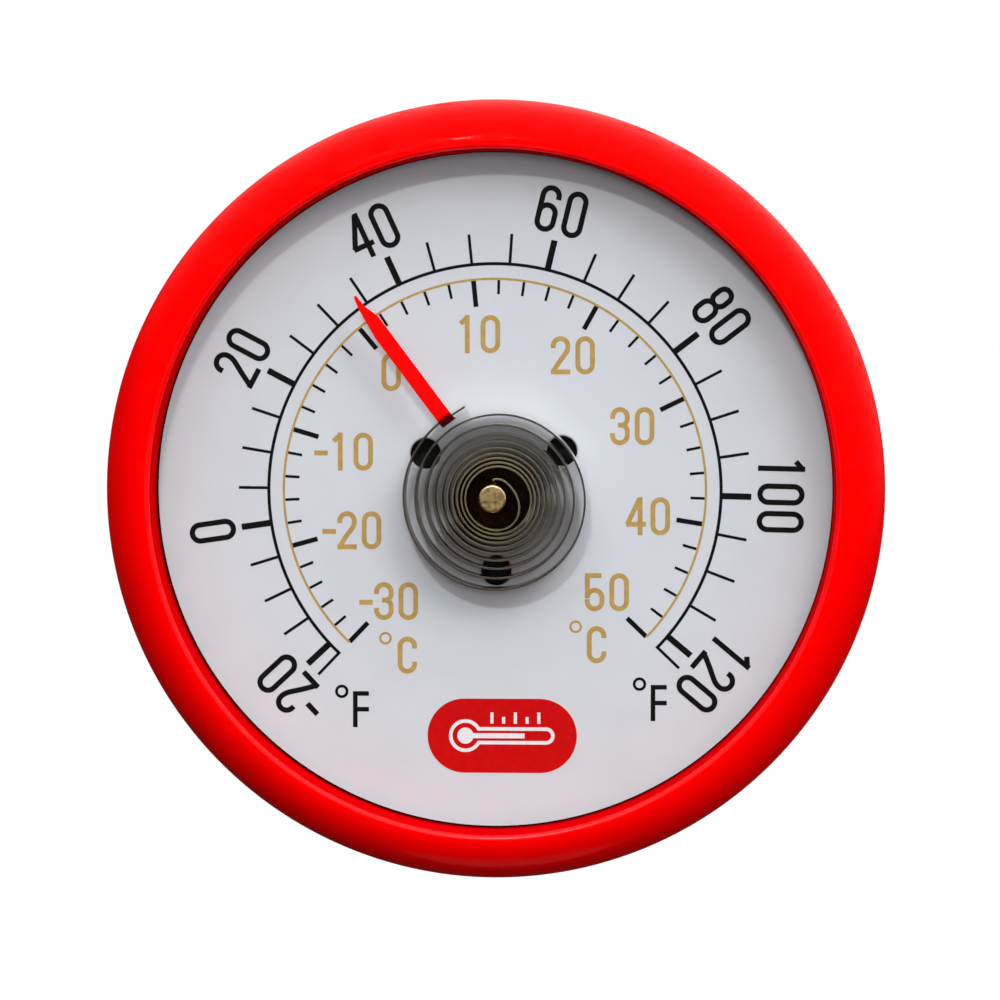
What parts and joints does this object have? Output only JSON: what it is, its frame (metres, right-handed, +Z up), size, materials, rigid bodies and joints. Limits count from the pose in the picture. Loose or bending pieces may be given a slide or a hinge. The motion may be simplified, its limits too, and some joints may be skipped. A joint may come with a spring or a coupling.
{
  "type": "wall dial thermometer",
  "caption": "Round wall thermometer whose bimetal coil turns a pointer over a printed dial behind a clear window, in a moulded ring with a keyhole back.",
  "frame": {"origin": "on the wall, where the shank of the wall screw carries the top of the keyhole slot; the dial's centre is 50 mm below it", "axes": "+Z up, +X to the reader's right, +Y into the wall; the dial faces -Y"},
  "size_m": [0.1524, 0.0223, 0.1524],
  "materials": {
    "red_plastic": "glossy moulded red plastic",
    "black_plastic": "fine matt moulded black plastic",
    "clear_plastic": "polished clear plastic",
    "dial_plastic": "satin white sheet with screen-printed scales",
    "brass": "turned brass",
    "steel": "zinc plated",
    "bimetal": "rolled bimetal strip, tarnished brown-grey",
    "red_paint": "bright red paint",
    "rubber": "matt moulded rubber"
  },
  "bodies": {
    "case": {"bezel_ring": "red_plastic", "rear_case": "black_plastic", "lens": "clear_plastic", "dial_plate": "dial_plastic", "post_bushing": "brass", "lock_washer": "steel", "bushing_nut": "steel", "case_screw_1": "steel", "case_screw_2": "steel", "case_screw_3": "steel", "hanger_plate": "steel", "hanger_screw_1": "steel", "hanger_screw_2": "steel", "wall_pad_1": "rubber", "wall_pad_2": "rubber", "wall_pad_3": "rubber", "wall_pad_4": "rubber"},
    "post": {"centre_post": "brass", "spring_washer": "steel", "retaining_clip": "steel", "bimetal_coil": "bimetal"},
    "pointer": {"pointer": "red_paint"}
  },
  "joints": [
    {"name": "calibration", "type": "hinge", "parent": "case", "child": "post", "pos_m": [0, 0, -0.0512], "axis": [0, 1, 0], "continuous": true},
    {"name": "reading", "type": "hinge", "parent": "post", "child": "pointer", "pos_m": [0, 0, -0.0512], "axis": [0, 1, 0], "range_deg": [-97.5, 163.3], "stiffness_Nm_per_rad": 0.0019, "deforming": ["bimetal_coil"]}
  ]
}
